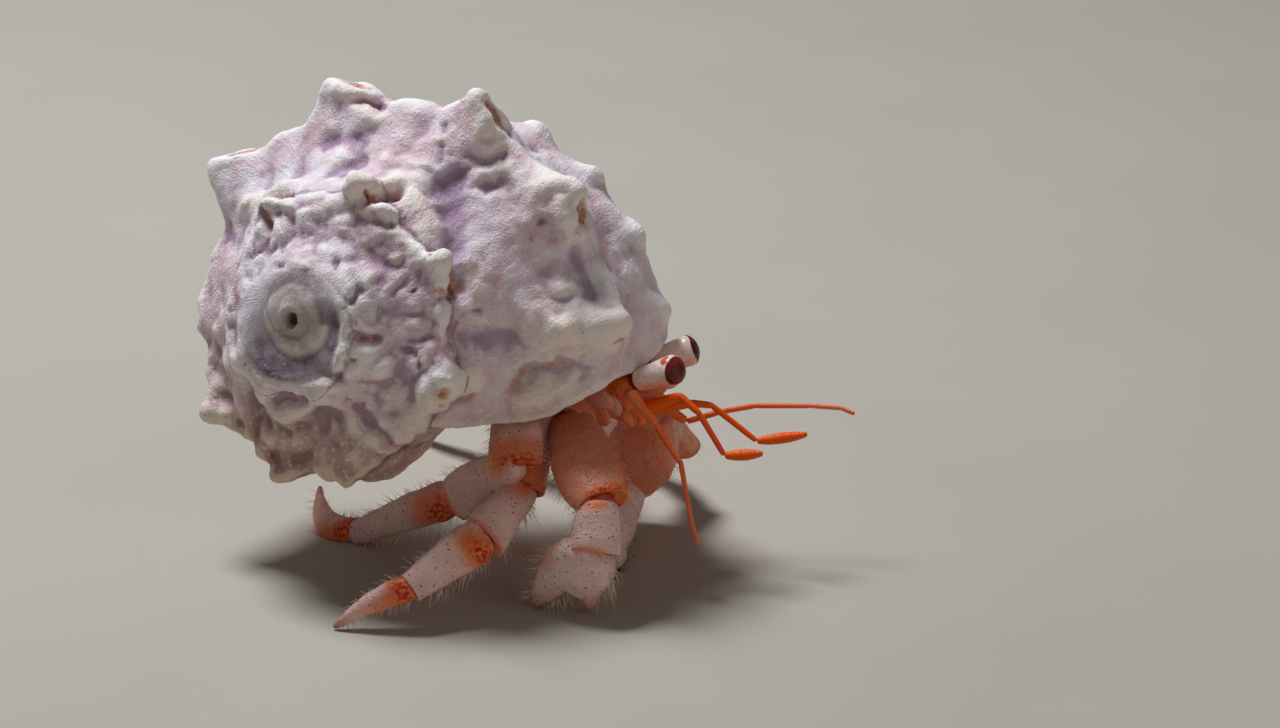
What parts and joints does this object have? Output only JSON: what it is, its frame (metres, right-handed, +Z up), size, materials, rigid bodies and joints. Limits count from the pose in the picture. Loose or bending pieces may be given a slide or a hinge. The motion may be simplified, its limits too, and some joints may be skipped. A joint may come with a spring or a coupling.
{
  "type": "hermit crab",
  "caption": "Life-size still model of a land hermit crab walking in a worn, knobbed whitish turban shell, with orange feelers and pale orange legs.",
  "frame": {"origin": "middle of the animal's outline seen from above, on the floor it stands on", "axes": "+Z up, +X the way the crab's head and feelers point, +Y its left side; the spire of the shell points mostly to -Y"},
  "size_m": [0.0662, 0.0526, 0.0486],
  "materials": {
    "shell": "worn, chalky, slightly rough",
    "plate": "smooth hard cuticle with fine dots",
    "flesh": "smooth, slightly moist",
    "feeler": "smooth, slightly glossy",
    "stalk": "smooth, slightly glossy",
    "cornea": "wet gloss"
  },
  "bodies": {
    "root": {"trunk": "flesh", "shield": "plate", "eyestalk_r": "stalk", "eyestalk_l": "stalk", "cornea_r": "cornea", "cornea_l": "cornea", "leg2_r_coxa": "plate", "leg2_r_merus": "plate", "leg2_r_carpus": "plate", "leg2_r_propodus": "plate", "leg2_r_dactyl": "plate", "leg3_r_coxa": "plate", "leg3_r_merus": "plate", "leg3_r_carpus": "plate", "leg3_r_propodus": "plate", "leg3_r_dactyl": "plate", "leg2_l_coxa": "plate", "leg2_l_merus": "plate", "leg2_l_carpus": "plate", "leg2_l_propodus": "plate", "leg2_l_dactyl": "plate", "leg3_l_coxa": "plate", "leg3_l_merus": "plate", "leg3_l_carpus": "plate", "leg3_l_propodus": "plate", "leg3_l_dactyl": "plate", "cheliped_r_ischium": "plate", "cheliped_r_arm": "plate", "cheliped_r_wrist": "plate", "cheliped_r_palm": "plate", "cheliped_r_finger": "plate", "cheliped_l_ischium": "plate", "cheliped_l_arm": "plate", "cheliped_l_wrist": "plate", "cheliped_l_palm": "plate", "cheliped_l_finger": "plate", "antennule_r_stem": "feeler", "antennule_r_club": "feeler", "antennule_l_stem": "feeler", "antennule_l_club": "feeler", "antenna_r_base": "feeler", "antenna_r_whip": "feeler", "antenna_l_base": "feeler", "antenna_l_whip": "feeler", "maxilliped_r": "plate", "maxilliped_l": "plate", "shell": "shell"}
  },
  "joints": []
}
